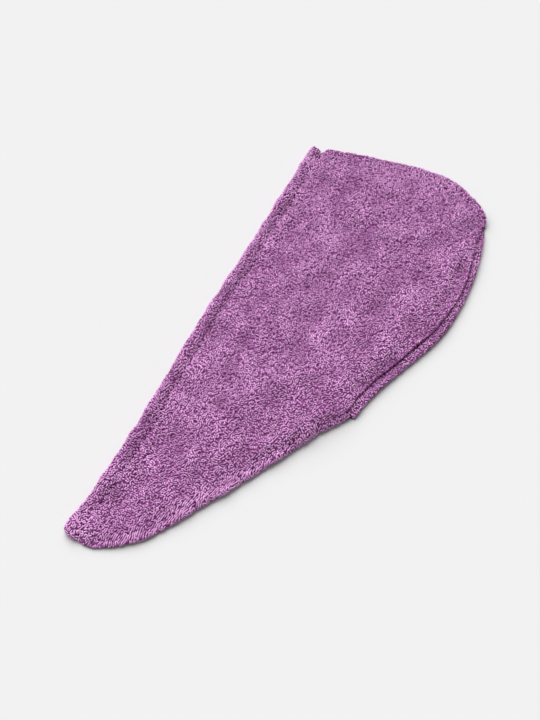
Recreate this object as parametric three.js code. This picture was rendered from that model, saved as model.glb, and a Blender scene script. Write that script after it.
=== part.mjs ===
import * as THREE from 'three';
import { mergeVertices } from 'three/addons/utils/BufferGeometryUtils.js';

// A hair turban towel of terry cloth, lying flat on one side. Two cut panels are sewn together
// along the straight spine, the short top edge and the slanted tail. The curved edge that goes
// round the head stays open and has a turned-in hem on each panel. Millimetres, +Z up: the spine
// runs along Y with the tail towards -Y, and the opening faces +X.

// Overall size, over the pile
const LENGTH = 650;
const WIDTH = 268;

// Cloth, and the clearance between two pieces
const CLOTH = 2.6;
const GAP = 0.5;

// Height of the upper panel's outer face where it swells most
const CROWN = 16.2;

// Seams: each is a roll of the turned allowances, with a groove where the panel meets it
const SPINE_SEAM_WIDTH = 17;
const SPINE_SEAM_HEIGHT = 13.5;
const SPINE_GROOVE = 2.6;
const TOP_SEAM_WIDTH = 9;
const TOP_SEAM_HEIGHT = 11.5;
const TOP_GROOVE = 0.3;
const TAIL_SEAM_WIDTH = 9;
const TAIL_SEAM_HEIGHT = 9.5;
const TAIL_GROOVE = 0.6;

// How far from each seam the upper panel has risen to its full height
const SPINE_SHOULDER = 15;
const TOP_SHOULDER = 15;
const TAIL_SHOULDER = 19;
const FOLD_MARGIN = 14;

// Opening for the head: the slot between the hems, and how far the upper lip lies back
const HEM_WIDTH = 14;
const HEM_SET_BACK = 4;
const MOUTH_SLOT = 6;
const MOUTH_STAGGER = 9;
const MOUTH_FADE = 26;
const TAIL_SEAM_START = 3;

// The curved ends of the seam rolls, with the size of the very end and the places of its sections
// as shares, and the roundness of a roll's section on either side
const NOSE_LENGTH = 5;
const NOSE_END = 0.6;
const NOSE_SECTIONS = [0, 0.06, 0.3, 0.65];
const ROUND_SIDE = 2.2;
const PANEL_SIDE = 4;
const SECTION_POINTS = 12;

// Lowest outer face of the upper panel: over the under panel, and over both hems
const LOWEST = 2 * CLOTH + GAP;
const LOWEST_AT_HEM = 4 * CLOTH + 3 * GAP;

// Outline. Places along the length and across the width are shares of LENGTH and WIDTH from
// the middle of the towel.
const MOUTH_START = -0.0725;
const SPINE_EDGE = [
  { along: -0.489, across: -0.5 },
  { along: -0.43, across: -0.494 },
  { along: -0.386, across: -0.4875 },
  { along: -0.293, across: -0.4795 },
  { along: -0.2, across: -0.482 },
  { along: -0.0926, across: -0.4897 },
  { along: 0.031, across: -0.4916 },
  { along: 0.2, across: -0.486 },
  { along: 0.37, across: -0.4879 },
  { along: 0.4583, across: -0.493 },
];
const TOP_EDGE = [
  { across: -0.49, along: 0.4583 },
  { across: -0.3028, along: 0.4761 },
  { across: -0.1047, along: 0.4923 },
  { across: 0.0187, along: 0.4985 },
  { across: 0.12, along: 0.5 },
  { across: 0.1944, along: 0.4956 },
  { across: 0.2654, along: 0.4828 },
  { across: 0.3626, along: 0.4583 },
  { across: 0.4, along: 0.4444 },
];
const MOUTH_EDGE = [
  { along: MOUTH_START, across: 0.314 },
  { along: -0.0309, across: 0.3365 },
  { along: 0.0077, across: 0.3625 },
  { along: 0.0494, across: 0.3965 },
  { along: 0.0941, across: 0.4374 },
  { along: 0.1389, across: 0.4748 },
  { along: 0.179, across: 0.494 },
  { along: 0.237, across: 0.5 },
  { along: 0.2932, across: 0.494 },
  { along: 0.3302, across: 0.4804 },
  { along: 0.3657, across: 0.4636 },
  { along: 0.4012, across: 0.4393 },
  { along: 0.4444, across: 0.4 },
];
const TAIL_EDGE = [
  { along: -0.4877, across: -0.3327 },
  { along: -0.4383, across: -0.1907 },
  { along: -0.3889, across: -0.1121 },
  { along: -0.3488, across: -0.0585 },
  { along: -0.3009, across: 0.0075 },
  { along: -0.2577, across: 0.063 },
  { along: -0.2145, across: 0.1155 },
  { along: -0.1698, across: 0.17 },
  { along: -0.125, across: 0.2245 },
  { along: MOUTH_START, across: 0.314 },
];
const TIP_EDGE = [
  { across: -0.5, along: -0.489 },
  { across: -0.465, along: -0.4955 },
  { across: -0.43, along: -0.499 },
  { across: -0.4, along: -0.5 },
  { across: -0.365, along: -0.4963 },
  { across: -0.3327, along: -0.4877 },
];

// Seam rolls: shares of their own heights and of the tail seam's width
const SPINE_SEAM = [
  { along: -0.5, height: 0.66 },
  { along: -0.44, height: 0.84 },
  { along: -0.34, height: 0.98 },
  { along: 0.3, height: 1 },
  { along: 0.5, height: 0.97 },
];
const TOP_SEAM = [
  { across: -0.45, height: 0.98 },
  { across: 0.2, height: 1 },
  { across: 0.4, height: 1.12 },
];
const TAIL_SEAM = [
  { along: -0.5, height: 0.72, width: 0.55 },
  { along: -0.44, height: 0.76, width: 0.55 },
  { along: -0.385, height: 0.88, width: 0.78 },
  { along: -0.33, height: 1, width: 1 },
  { along: -0.12, height: 1, width: 1 },
  { along: -0.095, height: 1, width: 0.85 },
  { along: MOUTH_START, height: 1, width: 0.5 },
];

// The upper panel along its length: its swell as a share of CROWN
const SWELL = [
  { along: -0.5, height: 0.66 },
  { along: -0.44, height: 0.82 },
  { along: -0.36, height: 0.93 },
  { along: -0.25, height: 0.98 },
  { along: 0, height: 0.98 },
  { along: 0.2, height: 1 },
  { along: 0.4, height: 0.97 },
  { along: 0.5, height: 0.9 },
];

// The opening along its length: slot height as a share of MOUTH_SLOT, and how far the upper lip
// lies back from the under one as a share of MOUTH_STAGGER
const MOUTH = [
  { along: MOUTH_START, slot: 0.1, back: 0.98 },
  { along: -0.035, slot: 0.5, back: 0.9 },
  { along: 0.01, slot: 0.85, back: 1 },
  { along: 0.07, slot: 0.99, back: 0.82 },
  { along: 0.125, slot: 1, back: 0.93 },
  { along: 0.19, slot: 1, back: 0.7 },
  { along: 0.26, slot: 1, back: 0.42 },
  { along: 0.33, slot: 0.93, back: 0.55 },
  { along: 0.37, slot: 0.6, back: 0.68 },
  { along: 0.41, slot: 0.3, back: 0.3 },
  { along: 0.4444, slot: 0.1, back: 0.06 },
];

// Dents and swellings of the upper panel. Half lengths and half widths are shares of WIDTH, rise
// is a share of CROWN, and turn is in degrees from the width's direction.
const FOLDS = [
  { along: 0.262, across: -0.285, long: 0.17, wide: 0.038, rise: -0.11, turn: 46 },
  { along: 0.338, across: -0.1, long: 0.17, wide: 0.036, rise: -0.12, turn: 40 },
  { along: 0.273, across: 0.116, long: 0.09, wide: 0.033, rise: -0.1, turn: 38 },
  { along: 0.335, across: 0.262, long: 0.055, wide: 0.045, rise: -0.08, turn: 20 },
  { along: 0.178, across: 0.153, long: 0.07, wide: 0.032, rise: -0.07, turn: 10 },
  { along: 0.215, across: 0.306, long: 0.05, wide: 0.036, rise: -0.08, turn: 60 },
  { along: -0.112, across: -0.26, long: 0.17, wide: 0.052, rise: -0.12, turn: 14 },
  { along: -0.094, across: -0.03, long: 0.13, wide: 0.042, rise: -0.09, turn: 24 },
  { along: -0.04, across: -0.176, long: 0.06, wide: 0.045, rise: -0.06, turn: 80 },
  { along: -0.31, across: -0.358, long: 0.26, wide: 0.024, rise: -0.1, turn: 94 },
  { along: -0.072, across: 0.175, long: 0.085, wide: 0.055, rise: 0.16, turn: 66 },
  { along: -0.178, across: 0.075, long: 0.16, wide: 0.038, rise: 0.09, turn: 62 },
  { along: 0.05, across: 0.25, long: 0.16, wide: 0.045, rise: 0.07, turn: 80 },
  { along: 0.24, across: 0.36, long: 0.15, wide: 0.045, rise: 0.04, turn: 86 },
  { along: 0.225, across: -0.175, long: 0.13, wide: 0.07, rise: 0.06, turn: 46 },
  { along: 0.405, across: -0.2, long: 0.16, wide: 0.07, rise: 0.06, turn: 20 },
  { along: 0.395, across: 0.06, long: 0.12, wide: 0.08, rise: 0.05, turn: 0 },
  { along: 0.08, across: -0.1, long: 0.22, wide: 0.14, rise: 0.03, turn: 60 },
  { along: -0.2, across: -0.33, long: 0.13, wide: 0.05, rise: 0.06, turn: 80 },
  { along: -0.3, across: -0.22, long: 0.16, wide: 0.06, rise: 0.07, turn: 70 },
];

// Rows along, columns across and steps of each roll, drawn closer together towards the ends
const TAIL_ROWS = 30;
const MOUTH_ROWS = 28;
const PANEL_COLUMNS = 30;
const EDGE_PULL = 0.35;
const SPINE_STEPS = 26;
const TOP_STEPS = 26;
const TAIL_STEPS = 32;
const TIP_STEPS = 7;
const LEFT_STEPS = 10;
const HEM_STEPS = 30;
const HEM_COLUMNS = 3;
const SLOPE_STEP = 8;
const CORNER_TRIES = 60;

// Colour of the dyed cotton
const TERRY = { color: 0xa36a9e, roughness: 0.95, metalness: 0 };

// A smooth curve through the rows of a table, with no overshoot, straight past both ends
function graph(rows, from, to) {
  const step = (i) => rows[i + 1][from] - rows[i][from];
  const rise = (i) => (rows[i + 1][to] - rows[i][to]) / step(i);
  const last = rows.length - 1;
  const slopes = rows.map((row, i) => {
    if (i === 0) return rise(0);
    if (i === last) return rise(last - 1);
    const before = rise(i - 1);
    const after = rise(i);
    return before * after <= 0 ? 0 : (2 * before * after) / (before + after);
  });
  return (place) => {
    if (place <= rows[0][from]) return rows[0][to] + slopes[0] * (place - rows[0][from]);
    if (place >= rows[last][from]) return rows[last][to] + slopes[last] * (place - rows[last][from]);
    const i = rows.findIndex((row) => row[from] > place) - 1;
    const t = (place - rows[i][from]) / step(i);
    const bend = t * t * (3 - 2 * t);
    const lead = t * (1 - t) * (1 - t) * slopes[i] * step(i);
    const tail = t * t * (1 - t) * slopes[i + 1] * step(i);
    return rows[i][to] + bend * (rows[i + 1][to] - rows[i][to]) + lead - tail;
  };
}

const lerp = THREE.MathUtils.lerp;
const smooth = (value, from, to) => THREE.MathUtils.smoothstep(value, from, to);

// Outline in millimetres
const acrossOf = (share) => (y) => WIDTH * share(y / LENGTH);
const alongOf = (share) => (x) => LENGTH * share(x / WIDTH);
const mouthLow = MOUTH_START * LENGTH;
const mouthHigh = MOUTH_EDGE.at(-1).along * LENGTH;
const spineX = acrossOf(graph(SPINE_EDGE, 'along', 'across'));
const mouthX = acrossOf(graph(MOUTH_EDGE, 'along', 'across'));
const tailX = acrossOf(graph(TAIL_EDGE, 'along', 'across'));
const frontX = (y) => (y > mouthLow ? mouthX(y) : tailX(y));
const topY = alongOf(graph(TOP_EDGE, 'across', 'along'));
const tipY = alongOf(graph(TIP_EDGE, 'across', 'along'));

// How much longer a cut along an axis is than the width square to a slanted edge
function slant(edge) {
  return (place) => Math.hypot(1, (edge(place + SLOPE_STEP) - edge(place - SLOPE_STEP)) / (2 * SLOPE_STEP));
}
const frontSlant = slant(frontX);
const topSlant = slant(topY);
const tipSlant = slant(tipY);

// Seam rolls in millimetres
const spineShare = graph(SPINE_SEAM, 'along', 'height');
const topShare = graph(TOP_SEAM, 'across', 'height');
const tailShare = graph(TAIL_SEAM, 'along', 'height');
const tailWidthShare = graph(TAIL_SEAM, 'along', 'width');
const spineHeight = (y) => SPINE_SEAM_HEIGHT * spineShare(y / LENGTH);
const topHeight = (x) => TOP_SEAM_HEIGHT * topShare(x / WIDTH);
const tailHeight = (y) => TAIL_SEAM_HEIGHT * tailShare(y / LENGTH);
const tailWidth = (y) => TAIL_SEAM_WIDTH * tailWidthShare(y / LENGTH);
const tipWidth = TAIL_SEAM_WIDTH * TAIL_SEAM[0].width;
const spineInner = (y) => spineX(y) + SPINE_SEAM_WIDTH;
const topInner = (x) => topY(x) - TOP_SEAM_WIDTH * topSlant(x);
const tipInner = (x) => tipY(x) + tipWidth * tipSlant(x);
const tailInner = (y) => frontX(y) - tailWidth(y) * frontSlant(y);

// Opening in millimetres
const slotShare = graph(MOUTH, 'along', 'slot');
const backShare = graph(MOUTH, 'along', 'back');
const slotHeight = (y) => Math.max(GAP, MOUTH_SLOT * slotShare(y / LENGTH));
const lipBack = (y) => MOUTH_STAGGER * backShare(y / LENGTH);

// Edges of the two panels
const panelLeft = (y) => spineInner(y) + GAP;
const panelTop = (x) => topInner(x) - GAP;
const panelBottom = (x) => tipInner(x) + GAP;
const underRight = (y) => {
  const seam = (tailWidth(Math.min(y, mouthLow)) + GAP) * frontSlant(y);
  return frontX(y) - seam * (1 - smooth(y, mouthLow, mouthLow + TAIL_SEAM_START));
};
const upperRight = (y) => {
  const tail = tailWidth(Math.min(y, mouthLow)) + GAP;
  const mouth = Math.max(tail * (1 - smooth(y, mouthLow, mouthHigh)), lipBack(Math.max(y, mouthLow)));
  return frontX(y) - lerp(tail, mouth, smooth(y, mouthLow - MOUTH_FADE, mouthLow)) * frontSlant(y);
};

// Height of the upper panel's outer face along each of its edges
const swell = graph(SWELL, 'along', 'height');
const lipHeight = (y) => 4 * CLOTH + 2 * GAP + slotHeight(y);
const spineEdge = (y) => Math.max(LOWEST, spineHeight(y) - SPINE_GROOVE);
const topEdge = (x) => Math.max(LOWEST, topHeight(x) - TOP_GROOVE);
const tailEdge = (y) => Math.max(LOWEST, tailHeight(y) - TAIL_GROOVE);
const frontEdge = (y) => {
  const share = smooth(y, mouthLow - MOUTH_FADE, mouthLow);
  return lerp(tailEdge(Math.min(y, mouthLow)), lipHeight(Math.max(y, mouthLow)), share);
};

// One dent or swelling, as a share of CROWN
function foldRise(fold, x, y) {
  const turn = THREE.MathUtils.degToRad(fold.turn);
  const dx = x - fold.across * WIDTH;
  const dy = y - fold.along * LENGTH;
  const s = (dx * Math.cos(turn) + dy * Math.sin(turn)) / (fold.long * WIDTH);
  const t = (dy * Math.cos(turn) - dx * Math.sin(turn)) / (fold.wide * WIDTH);
  return fold.rise * Math.exp(-s * s - t * t);
}

// The upper panel's outer face: its swell falls in a shoulder to every seam, and the dents fade
// out before the edges
function upperHeight(x, y) {
  const full = CROWN * swell(y / LENGTH);
  const fall = (distance, shoulder) => (1 - THREE.MathUtils.clamp(distance / shoulder, 0, 1)) ** 2;
  const fromSpine = x - panelLeft(y);
  const fromTop = (panelTop(x) - y) / topSlant(x);
  const fromTip = (y - panelBottom(x)) / tipSlant(x);
  const fromFront = (upperRight(y) - x) / frontSlant(y);
  const front = (frontEdge(y) - full) * fall(fromFront, TAIL_SHOULDER);
  const drops = [
    (full - spineEdge(y)) * fall(fromSpine, SPINE_SHOULDER),
    (full - topEdge(x)) * fall(fromTop, TOP_SHOULDER),
    (full - tailEdge(y)) * fall(fromTip, TAIL_SHOULDER),
    -front,
  ];
  const drop = Math.cbrt(drops.reduce((sum, each) => sum + Math.max(0, each) ** 3, 0));
  const folds = FOLDS.reduce((sum, fold) => sum + foldRise(fold, x, y), 0);
  const inside = Math.min(fromSpine, fromTop, fromTip, fromFront);
  const height = full - drop + Math.max(0, front) + CROWN * folds * smooth(inside, 0, FOLD_MARGIN);
  const overHem = y > mouthLow && fromFront < HEM_WIDTH + FOLD_MARGIN;
  return Math.max(overHem ? LOWEST_AT_HEM : LOWEST, height);
}

// A closed body from shared vertices, with its faces pointing out
function closedBody(points, faces) {
  const corner = (i) => points[i];
  const volume = faces.reduce((sum, [a, b, c]) => {
    const cross = new THREE.Vector3().crossVectors(corner(b), corner(c));
    return sum + corner(a).dot(cross);
  }, 0);
  const outward = volume > 0 ? faces : faces.map(([a, b, c]) => [a, c, b]);
  const geometry = new THREE.BufferGeometry().setFromPoints(points);
  geometry.setIndex(outward.flat());
  geometry.computeVertexNormals();
  return geometry;
}

// Shares from 0 to 1, closer together towards both ends
function stations(count, pull = EDGE_PULL) {
  return Array.from({ length: count + 1 }, (_, i) => {
    const share = i / count;
    return share - (pull * Math.sin(2 * Math.PI * share)) / (2 * Math.PI);
  });
}

// Where an edge given as x(y) crosses one given as y(x)
function meet(xOf, yOf, start) {
  let y = start;
  for (let i = 0; i < CORNER_TRIES; i += 1) y = (y + yOf(xOf(y))) / 2;
  return new THREE.Vector2(xOf(y), y);
}

// The four edges of a panel as curves from corner to corner, with the shares of its rows and
// columns. The rows are closer together where the tail's seam ends and the opening starts.
function panelPlan(right) {
  const left = panelLeft;
  const low = -LENGTH / 2;
  const high = LENGTH / 2;
  const lowLeft = meet(left, panelBottom, low);
  const lowRight = meet(right, panelBottom, low);
  const highLeft = meet(left, panelTop, high);
  const highRight = meet(right, panelTop, high);
  const upright = (edge, from, to) => (share) => {
    const y = lerp(from.y, to.y, share);
    return new THREE.Vector2(edge(y), y);
  };
  const level = (edge, from, to) => (share) => {
    const x = lerp(from.x, to.x, share);
    return new THREE.Vector2(x, edge(x));
  };
  const turn = (mouthLow - lowRight.y) / (highRight.y - lowRight.y);
  const mouthRows = stations(MOUTH_ROWS).slice(1).map((share) => lerp(turn, 1, share));
  return {
    corners: [lowLeft, lowRight, highLeft, highRight],
    left: upright(left, lowLeft, highLeft),
    right: upright(right, lowRight, highRight),
    bottom: level(panelBottom, lowLeft, lowRight),
    top: level(panelTop, highLeft, highRight),
    rows: [...stations(TAIL_ROWS).map((share) => share * turn), ...mouthRows],
    columns: stations(PANEL_COLUMNS),
  };
}

// A grid of plan points inside four edges, blended from all of them
function planGrid({ corners, left, right, bottom, top, rows, columns }) {
  const blend = (a, b, share) => a.clone().lerp(b, share);
  return rows.map((v) => columns.map((u) => {
    const across = blend(left(v), right(v), u);
    const along = blend(bottom(u), top(u), v);
    const low = blend(corners[0], corners[1], u);
    const high = blend(corners[2], corners[3], u);
    return across.add(along).sub(blend(low, high, v));
  }));
}

// A sheet of cloth over a plan grid, from its outer height and its thickness
function sheet(grid, outerHeight) {
  const rows = grid.length;
  const columns = grid[0].length;
  const plan = grid.flat();
  const tops = plan.map((p) => new THREE.Vector3(p.x, p.y, outerHeight(p.x, p.y)));
  const points = [...tops, ...tops.map((p) => new THREE.Vector3(p.x, p.y, p.z - CLOTH))];
  const under = plan.length;
  const at = (row, column) => row * columns + column;
  const faces = [];
  const quad = (a, b, c, d) => faces.push([a, b, c], [a, c, d]);
  for (let row = 0; row < rows - 1; row += 1) {
    for (let column = 0; column < columns - 1; column += 1) {
      const ring = [at(row, column), at(row, column + 1), at(row + 1, column + 1), at(row + 1, column)];
      quad(...ring);
      quad(...ring.map((i) => i + under).reverse());
    }
  }
  const rim = (a, b) => quad(b, a, a + under, b + under);
  for (let column = 0; column < columns - 1; column += 1) {
    rim(at(0, column), at(0, column + 1));
    rim(at(rows - 1, column + 1), at(rows - 1, column));
  }
  for (let row = 0; row < rows - 1; row += 1) {
    rim(at(row, columns - 1), at(row + 1, columns - 1));
    rim(at(row + 1, 0), at(row, 0));
  }
  return closedBody(points, faces);
}

// One ring of a seam roll, between its outer and inner plan points, round on the outer side and
// fuller on the side that meets the panels
function ring({ outer, inner, height, scale }) {
  const middle = outer.clone().lerp(inner, 0.5);
  const half = inner.clone().sub(outer).multiplyScalar(0.5 * scale);
  const bend = (value, power) => Math.sign(value) * Math.abs(value) ** (2 / power);
  return Array.from({ length: SECTION_POINTS }, (_, i) => {
    const angle = (2 * Math.PI * i) / SECTION_POINTS;
    const power = i > SECTION_POINTS / 4 && i < (3 * SECTION_POINTS) / 4 ? ROUND_SIDE : PANEL_SIDE;
    const side = bend(Math.cos(angle), power);
    const lift = (height / 2) * (1 + scale * bend(Math.sin(angle), power));
    return new THREE.Vector3(middle.x + half.x * side, middle.y + half.y * side, lift);
  });
}

// A seam roll through its sections, with both ends drawn in to a blunt nose
function roll(sections) {
  const travelled = [0];
  sections.slice(1).forEach((section, i) => {
    travelled.push(travelled[i] + section.outer.distanceTo(sections[i].outer));
  });
  const total = travelled.at(-1);
  const points = sections.flatMap((section, i) => {
    const fromEnd = Math.min(travelled[i], total - travelled[i], NOSE_LENGTH) / NOSE_LENGTH;
    return ring({ ...section, scale: lerp(NOSE_END, 1, Math.sqrt(fromEnd * (2 - fromEnd))) });
  });
  const faces = [];
  for (let i = 0; i < sections.length - 1; i += 1) {
    for (let j = 0; j < SECTION_POINTS; j += 1) {
      const next = (j + 1) % SECTION_POINTS;
      const a = i * SECTION_POINTS;
      const b = a + SECTION_POINTS;
      faces.push([a + j, a + next, b + next], [a + j, b + next, b + j]);
    }
  }
  const end = (sections.length - 1) * SECTION_POINTS;
  for (let j = 1; j < SECTION_POINTS - 1; j += 1) {
    faces.push([0, j + 1, j], [end, end + j, end + j + 1]);
  }
  return closedBody(points, faces);
}

// Adds a nose's sections at the start of a run of shares, and at its end where it has one
function withNoses(shares, length, endNose = true) {
  const reach = NOSE_LENGTH / length;
  const steps = NOSE_SECTIONS.map((share) => share * reach);
  const ends = endNose ? steps.map((step) => 1 - step).reverse() : [1];
  const inner = shares.filter((share) => share > reach && share < (endNose ? 1 - reach : 1));
  return [...steps, ...inner, ...ends];
}

// The raised seam along the straight edge, from the blunt tip to the top corner
function spineSeam() {
  const low = meet(spineX, tipY, -LENGTH / 2).y;
  const high = meet(spineX, topY, LENGTH / 2).y;
  const length = high - low;
  const shares = withNoses(stations(SPINE_STEPS), length);
  return roll(shares.map((share) => {
    const y = low + share * length;
    return {
      outer: new THREE.Vector2(spineX(y), y),
      inner: new THREE.Vector2(spineInner(y), y),
      height: spineHeight(y),
    };
  }));
}

// The seam along the short top edge, from the spine's roll to the opening
function topSeam() {
  const besideSpine = (edge) => meet((y) => spineInner(y) + GAP, edge, LENGTH / 2);
  const starts = [besideSpine(topY), besideSpine(topInner)];
  const ends = [meet(mouthX, topY, mouthHigh), meet(mouthX, topInner, mouthHigh)];
  const shares = withNoses(stations(TOP_STEPS), ends[0].x - starts[0].x);
  return roll(shares.map((share) => {
    const [outerX, innerX] = starts.map((start, i) => lerp(start.x, ends[i].x, share));
    return {
      outer: new THREE.Vector2(outerX, topY(outerX)),
      inner: new THREE.Vector2(innerX, topInner(innerX)),
      height: topHeight(outerX),
    };
  }));
}

// The seam along the slanted tail, from the opening round the blunt tip to the spine's roll
function tailSeam() {
  const start = mouthLow - GAP;
  const turns = [meet(frontX, tipY, -LENGTH / 2), meet(tailInner, tipInner, -LENGTH / 2)];
  const besideSpine = (edge) => meet((y) => spineInner(y) + GAP, edge, -LENGTH / 2);
  const ends = [besideSpine(tipY), besideSpine(tipInner)];
  const slanted = withNoses(stations(TAIL_STEPS), start - turns[0].y, false).map((share) => {
    const [outerY, innerY] = turns.map((turn) => lerp(start, turn.y, share));
    return {
      outer: new THREE.Vector2(frontX(outerY), outerY),
      inner: new THREE.Vector2(tailInner(innerY), innerY),
      height: tailHeight(outerY),
    };
  });
  const round = stations(TIP_STEPS, 0).slice(1).map((share) => {
    const [outerX, innerX] = turns.map((turn, i) => lerp(turn.x, ends[i].x, share));
    return {
      outer: new THREE.Vector2(outerX, tipY(outerX)),
      inner: new THREE.Vector2(innerX, tipInner(innerX)),
      height: tailHeight(tipY(outerX)),
    };
  });
  return roll([...slanted, ...round]);
}

// The terry panel that faces up
function upperPanel() {
  return sheet(planGrid(panelPlan(upperRight)), upperHeight);
}

// The terry panel that lies flat, which reaches past the tail's seam to the edge of the opening
function underPanel() {
  const plan = panelPlan(underRight);
  const step = plan.rows[TAIL_ROWS] + TAIL_SEAM_START / (plan.corners[3].y - plan.corners[1].y);
  const upward = [...plan.rows, step].sort((a, b) => a - b).map(plan.right);
  const downward = stations(LEFT_STEPS).map(plan.left).reverse();
  const outline = [
    ...plan.columns.map(plan.bottom),
    ...upward.slice(1),
    ...plan.columns.map(plan.top).reverse().slice(1),
    ...downward.slice(1, -1),
  ];
  const solid = new THREE.ExtrudeGeometry(new THREE.Shape(outline), { depth: CLOTH, bevelEnabled: false });
  solid.deleteAttribute('normal');
  solid.deleteAttribute('uv');
  const merged = mergeVertices(solid);
  merged.computeVertexNormals();
  return merged;
}

// The turned-in edge of a panel along the opening
function hem(edge, outerHeight) {
  const low = mouthLow + HEM_SET_BACK;
  const high = meet(mouthX, topInner, mouthHigh).y - HEM_SET_BACK;
  const rows = stations(HEM_STEPS).map((share) => {
    const y = lerp(low, high, share);
    return Array.from({ length: HEM_COLUMNS + 1 }, (_, i) => {
      const back = HEM_WIDTH * (1 - i / HEM_COLUMNS) * frontSlant(y);
      return new THREE.Vector2(edge(y) - back, y);
    });
  });
  return sheet(rows, outerHeight);
}

const upperHem = () => hem(upperRight, (x, y) => upperHeight(x, y) - CLOTH - GAP);
const underHem = () => hem(underRight, () => 2 * CLOTH + GAP);

// The towel
function piece(name, geometry) {
  const mesh = new THREE.Mesh(geometry, new THREE.MeshStandardMaterial(TERRY));
  mesh.name = name;
  return mesh;
}

const towel = new THREE.Group();
towel.add(
  piece('upper_panel', upperPanel()),
  piece('under_panel', underPanel()),
  piece('upper_hem', upperHem()),
  piece('under_hem', underHem()),
  piece('spine_seam', spineSeam()),
  piece('top_seam', topSeam()),
  piece('tail_seam', tailSeam()),
);

// The origin is at the middle of the towel's outline, on the surface that it lies on
const bounds = new THREE.Box3().setFromObject(towel);
const centre = bounds.getCenter(new THREE.Vector3());
towel.position.set(-centre.x, -centre.y, -bounds.min.z);

export default towel;
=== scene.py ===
import math

import bpy
import numpy as np
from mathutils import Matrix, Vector
from mathutils.bvhtree import BVHTree
from mathutils.kdtree import KDTree


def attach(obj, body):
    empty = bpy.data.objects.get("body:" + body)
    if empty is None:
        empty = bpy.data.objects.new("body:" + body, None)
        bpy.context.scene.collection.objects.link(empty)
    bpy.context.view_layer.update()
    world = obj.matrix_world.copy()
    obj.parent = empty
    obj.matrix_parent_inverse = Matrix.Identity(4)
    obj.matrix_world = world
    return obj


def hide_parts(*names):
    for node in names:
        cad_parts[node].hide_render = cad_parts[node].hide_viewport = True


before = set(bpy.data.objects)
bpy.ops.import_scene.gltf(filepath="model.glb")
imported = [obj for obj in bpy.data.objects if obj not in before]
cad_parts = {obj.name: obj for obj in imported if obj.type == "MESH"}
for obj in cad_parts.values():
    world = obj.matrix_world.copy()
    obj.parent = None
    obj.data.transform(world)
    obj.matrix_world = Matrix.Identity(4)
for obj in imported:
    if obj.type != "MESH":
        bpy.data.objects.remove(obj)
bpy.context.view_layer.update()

bpy.ops.object.select_all(action="DESELECT")

# Camera: the photographer stands beyond the tail, a little towards the open edge, and looks down
# at 55 degrees through a long lens, so the towel hardly narrows with distance.
azimuth = math.radians(26.135)
elevation = math.radians(54.746)
distance = 1.941
aim = Vector((-0.0364, -0.0126, 0.0))
back = Vector((math.sin(azimuth) * math.cos(elevation), -math.cos(azimuth) * math.cos(elevation),
               math.sin(elevation)))
bpy.ops.object.camera_add(location=aim + distance * back,
                          rotation=(-back).to_track_quat("-Z", "Y").to_euler())
camera = bpy.context.object
camera.name = "camera"
camera.data.lens = 85
camera.data.sensor_width = 36
bpy.context.scene.camera = camera

# Table: a matt white studio sheet, so wide that no edge shows. One big soft light stands to the
# left of and behind the towel, on the spine's side, and white walls fill the shadows.
TABLE_SIZE = 30
KEY_WAY = Vector((0.70, -0.55, -1.12))
KEY_STRENGTH = 4.37
KEY_SPREAD = 70
ROOM_STRENGTH = 0.35


def colour(code):
    """A sRGB hex colour as the linear values that shaders take."""
    parts = [int(code[i:i + 2], 16) / 255 for i in (1, 3, 5)]
    linear = [c / 12.92 if c <= 0.04045 else ((c + 0.055) / 1.055) ** 2.4 for c in parts]
    return (*linear, 1.0)


def add_node(material, kind, settings=None, inputs=None):
    """Adds a node with its own settings, and with values or other nodes' outputs on its inputs."""
    node = material.node_tree.nodes.new(kind)
    for name, value in (settings or {}).items():
        setattr(node, name, value)
    for name, value in (inputs or {}).items():
        if isinstance(value, bpy.types.NodeSocket):
            material.node_tree.links.new(value, node.inputs[name])
        else:
            node.inputs[name].default_value = value
    return node


bpy.ops.mesh.primitive_plane_add(size=TABLE_SIZE, location=(0, 0, 0))
table = bpy.context.object
table.name = "table"

# Matt coated paper: it has no gloss, so the eye sees only an even pale grey with soft shadows.
paper = bpy.data.materials.new("matt_white_paper")
paper.use_nodes = True
sheet_shader = paper.node_tree.nodes["Principled BSDF"]
sheet_shader.inputs["Base Color"].default_value = colour("#CECECE")
sheet_shader.inputs["Roughness"].default_value = 0.9
sheet_shader.inputs["Specular IOR Level"].default_value = 0.0
table.data.materials.append(paper)

key_turn = KEY_WAY.to_track_quat("-Z", "Y").to_euler()
bpy.ops.object.light_add(type="SUN", location=(-1, 0.5, 1.5), rotation=key_turn)
key = bpy.context.object
key.name = "softbox"
key.data.energy = KEY_STRENGTH
key.data.angle = math.radians(KEY_SPREAD)

room = bpy.data.worlds.new("white_room")
bpy.context.scene.world = room
room.use_nodes = True
room_nodes = room.node_tree.nodes
room_light = room_nodes.get("Background") or room_nodes.new("ShaderNodeBackground")
room_end = room_nodes.get("World Output") or room_nodes.new("ShaderNodeOutputWorld")
room.node_tree.links.new(room_light.outputs["Background"], room_end.inputs["Surface"])
room_light.inputs["Color"].default_value = (1.0, 1.0, 1.0, 1.0)
room_light.inputs["Strength"].default_value = ROOM_STRENGTH
bpy.context.scene.view_settings.view_transform = "Standard"

# Ground cloth of the two panels: a thin cotton weave that carries the loops of the pile on both
# faces. The upper panel swells over the pocket, and the under one lies flat on the table.
GROUND_DEPTH = 0.001
SOFT_EDGE = 0.0007
WELD = 0.000002
NEIGHBOUR_REACH = 0.004
BARE_FROM = 0.7
BARE_OVER = 1.6


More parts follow.
